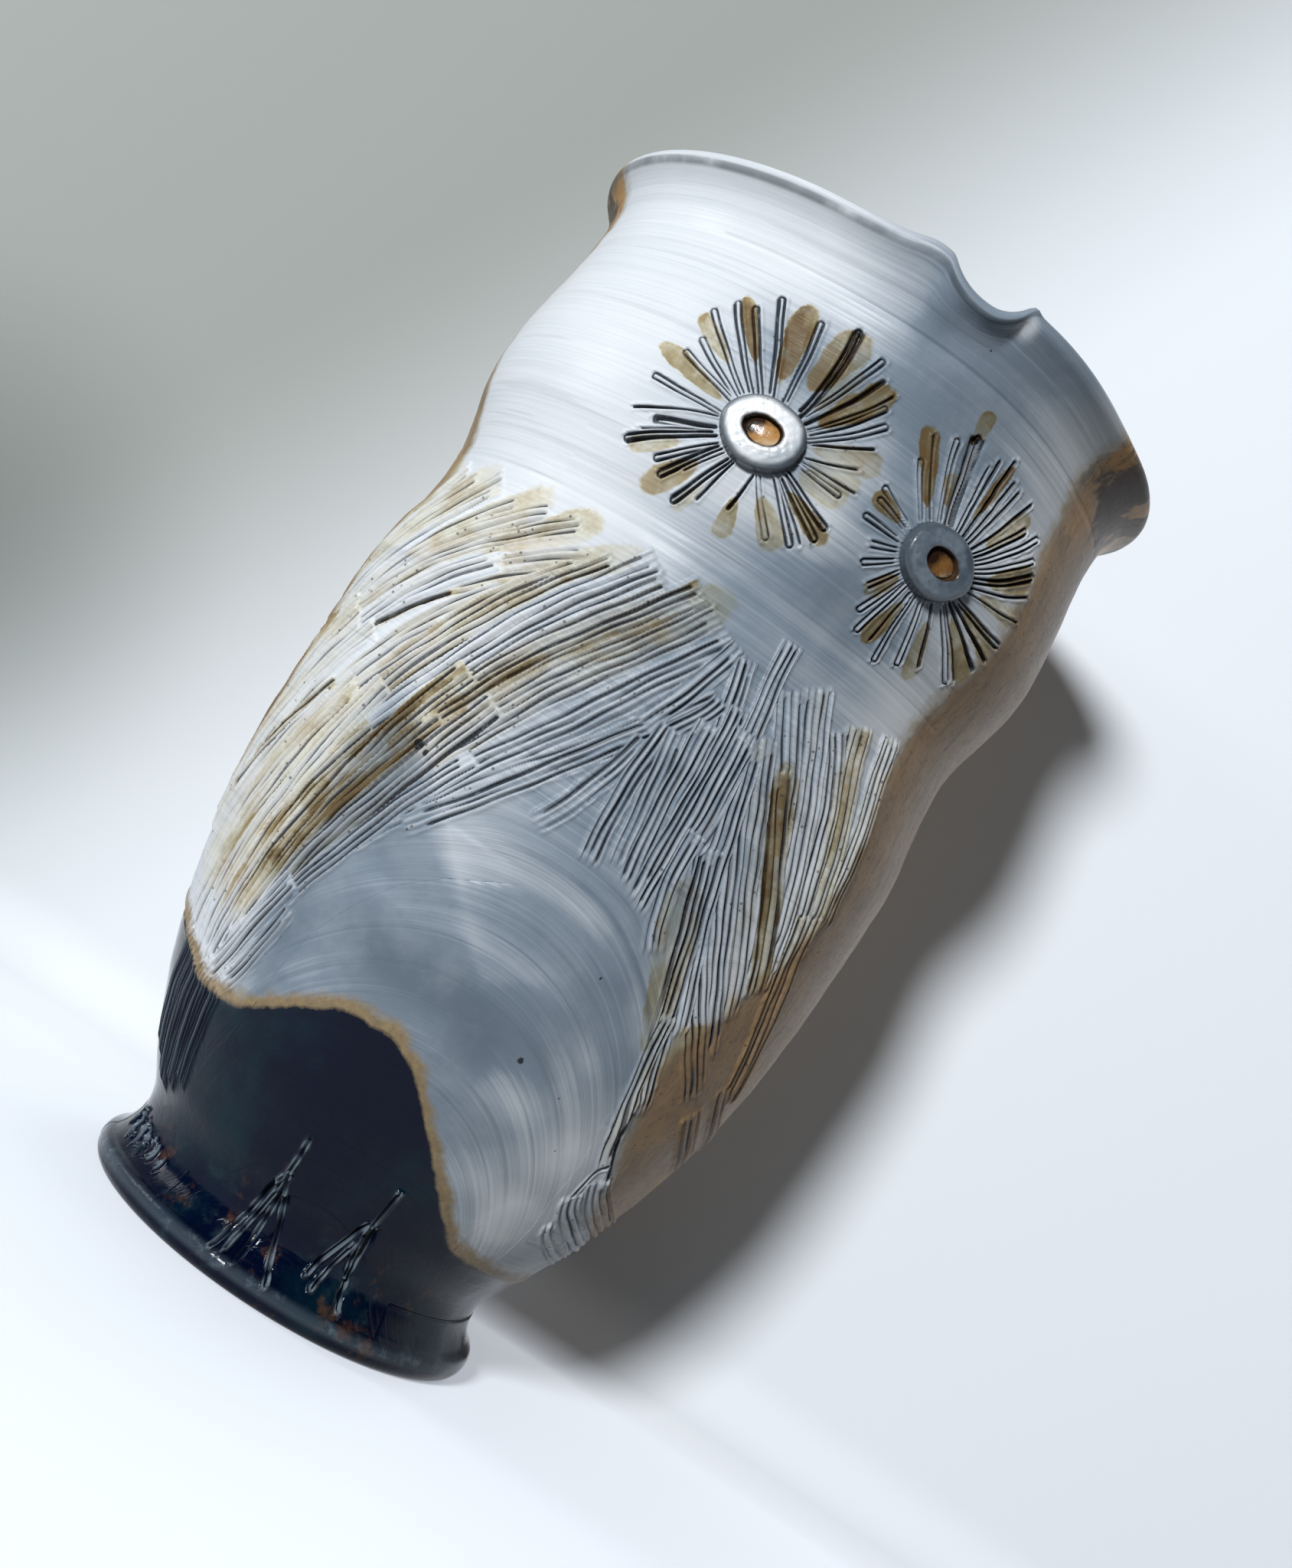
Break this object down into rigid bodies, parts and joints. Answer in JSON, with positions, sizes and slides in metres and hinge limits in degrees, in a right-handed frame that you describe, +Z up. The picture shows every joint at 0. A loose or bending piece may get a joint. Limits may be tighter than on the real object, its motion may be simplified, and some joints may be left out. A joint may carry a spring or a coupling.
{
  "type": "owl decanter",
  "caption": "Open stoneware jug with a flared rim, a small pressed pouring lip, a rounded foot and an owl's face with raised eye pads.",
  "frame": {"origin": "centre of the flat base, on the jug's turning axis", "axes": "+Z up along the turning axis, -Y towards the owl's face and the pouring lip, +X towards the owl's left"},
  "size_m": [0.1494, 0.1548, 0.25],
  "materials": {
    "dark_glaze": "glossy black-green glaze with rust flecks",
    "slip_glaze": "satin blue-white slip glaze over brown stoneware",
    "eye_slip": "satin white slip glaze",
    "amber_glaze": "pooled glossy amber-brown glaze"
  },
  "bodies": {
    "root": {"foot": "dark_glaze", "body": "slip_glaze", "right_eye": "eye_slip", "left_eye": "eye_slip", "right_pupil": "amber_glaze", "left_pupil": "amber_glaze"}
  },
  "joints": []
}
